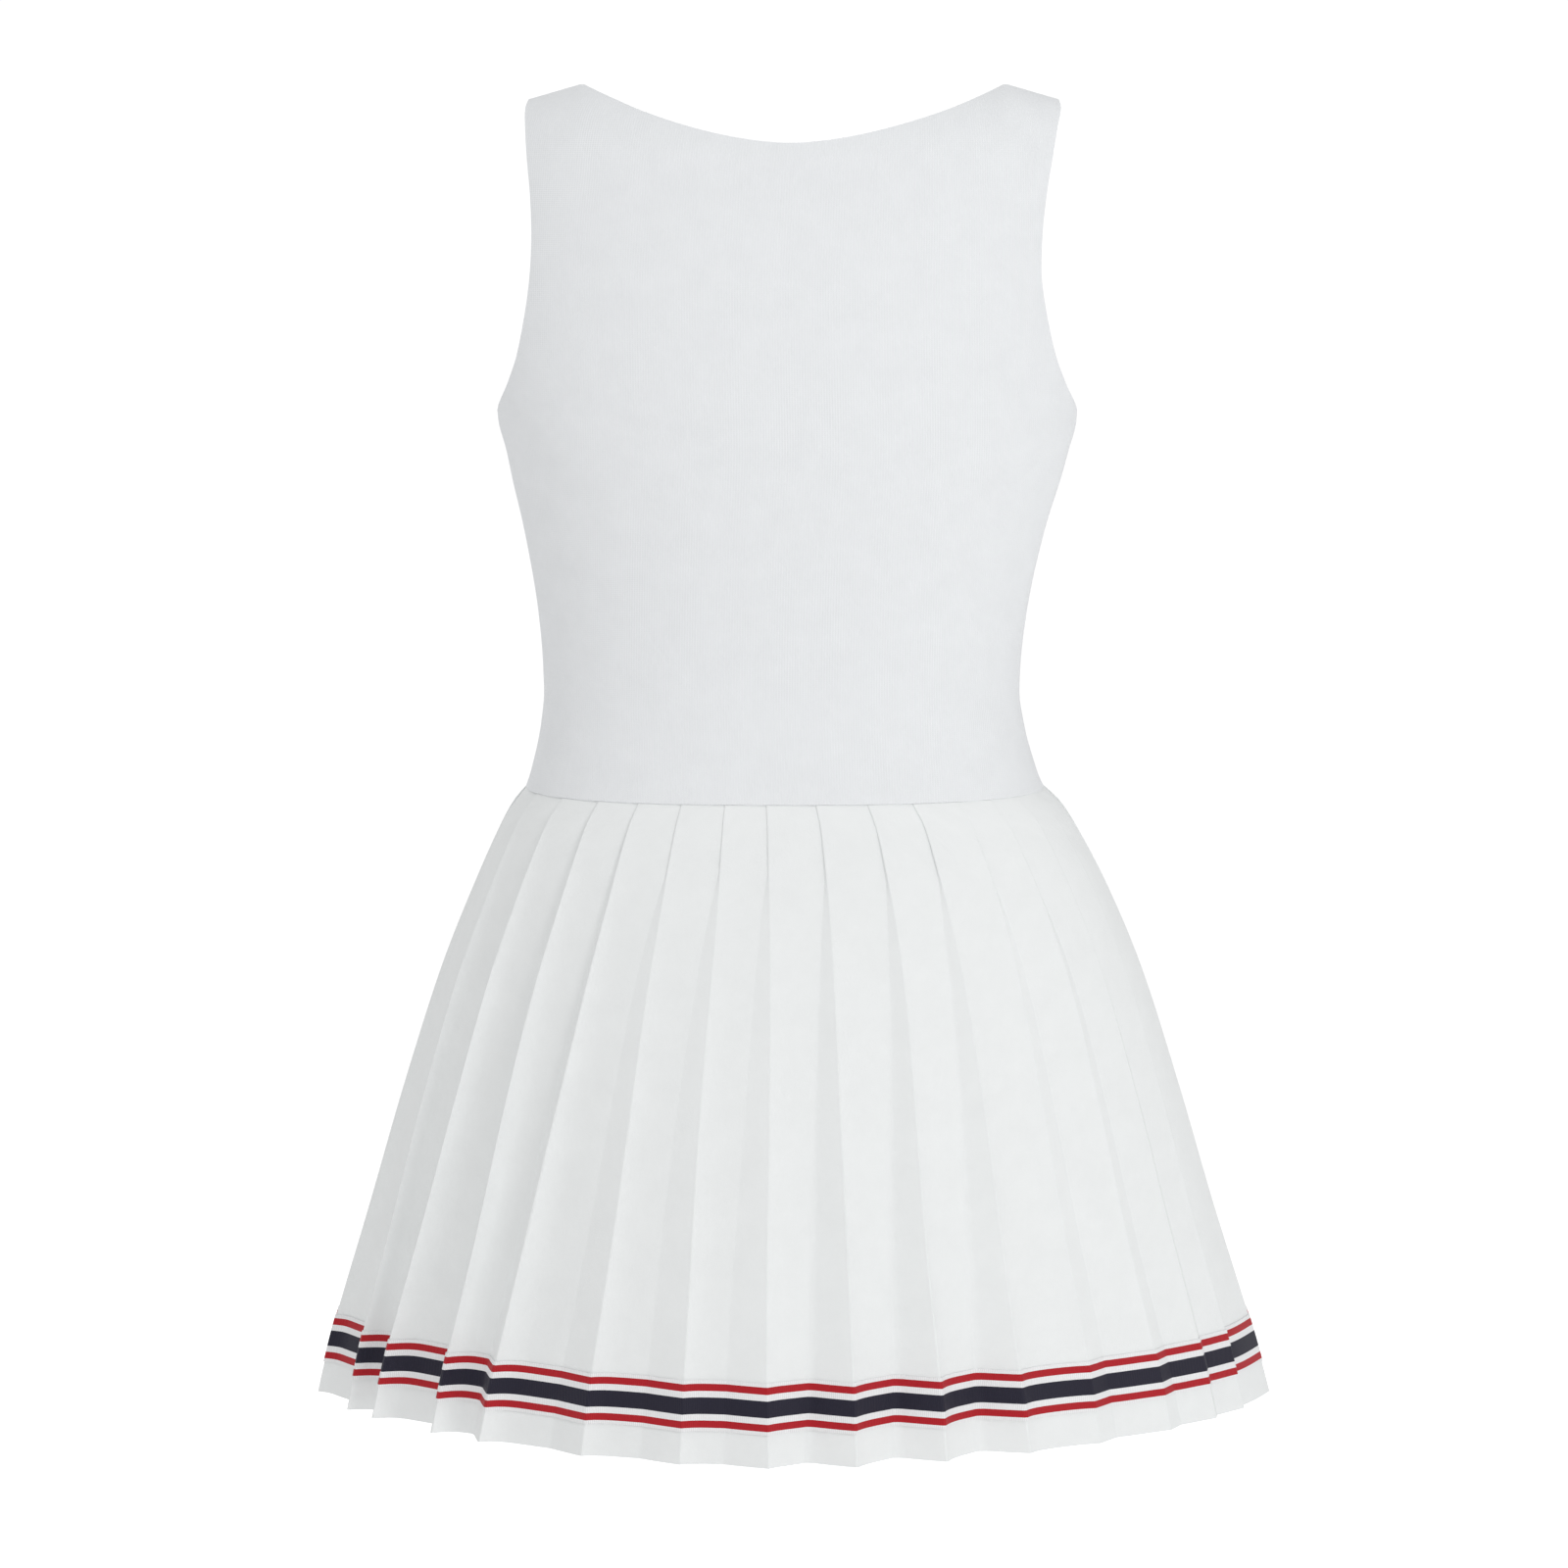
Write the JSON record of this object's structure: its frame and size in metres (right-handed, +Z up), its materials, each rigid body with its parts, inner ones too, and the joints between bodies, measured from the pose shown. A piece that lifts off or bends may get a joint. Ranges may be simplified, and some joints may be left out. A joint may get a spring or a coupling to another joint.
{
  "type": "tennis dress",
  "caption": "Sleeveless tennis dress with a smooth hollow bodice, a knife-pleated skirt sewn on at a dropped waist, and a striped ribbon trim above the hem, shown as worn.",
  "frame": {"origin": "midway between the two shoulder straps, level with their highest points, where the wearer's shoulders hold the dress", "axes": "+Z up, towards the shoulders; -Y out of the back of the dress; +Y out of its front; +X to the wearer's right"},
  "size_m": [0.5592, 0.4282, 0.762],
  "materials": {
    "bodice_cloth": "matte fine-ribbed stretch knit, cool white",
    "skirt_cloth": "matte pleated crepe, white",
    "hem_ribbon": "woven ribbon, white ground with red and navy bands"
  },
  "bodies": {
    "root": {"bodice_back": "bodice_cloth", "bodice_front": "bodice_cloth", "skirt_back": "skirt_cloth", "skirt_front": "skirt_cloth", "ribbon_back": "hem_ribbon", "ribbon_front": "hem_ribbon"}
  },
  "joints": []
}
